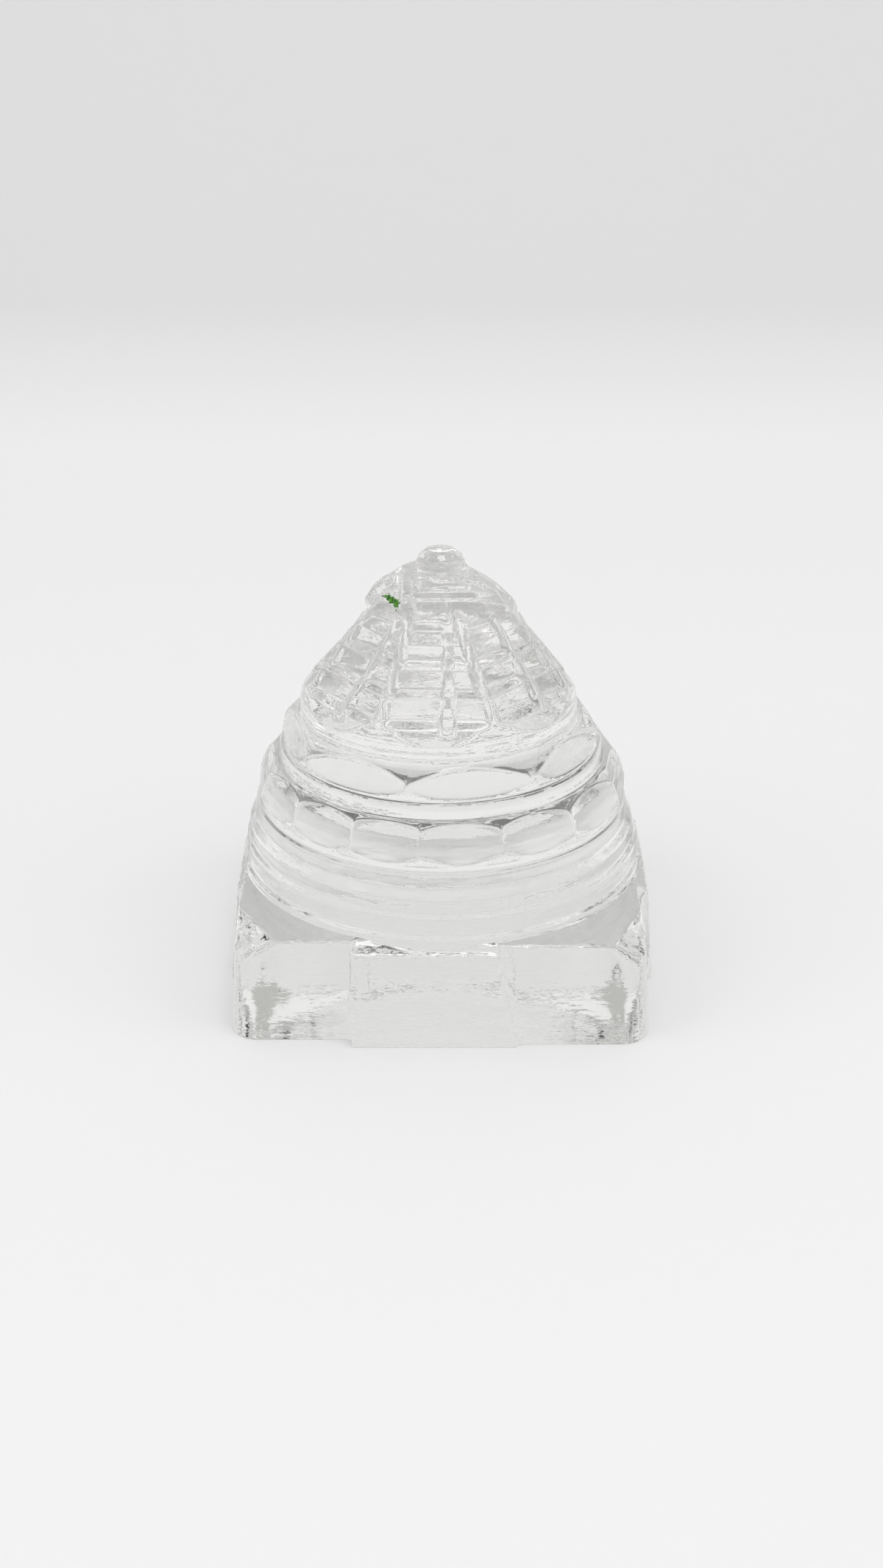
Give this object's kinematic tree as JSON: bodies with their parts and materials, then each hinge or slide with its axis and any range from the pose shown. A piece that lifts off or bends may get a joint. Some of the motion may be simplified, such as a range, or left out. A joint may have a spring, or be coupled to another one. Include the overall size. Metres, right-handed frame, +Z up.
{
  "type": "shri yantra",
  "caption": "Clear glass meru shri yantra: square gated base, round steps, two lotus belts and a terraced pyramid rising to a small dome.",
  "frame": {"origin": "middle of the square foot, on the plane the object stands on", "axes": "+Z up through the bindu on top; the front gate seen in the picture faces -Y; +X to the viewer's right"},
  "size_m": [0.05, 0.05, 0.0505],
  "materials": {
    "clear_glass": "clear pressed glass, faintly cloudy, smooth with small moulding flaws"
  },
  "bodies": {
    "root": {"yantra_body": "clear_glass"}
  },
  "joints": []
}
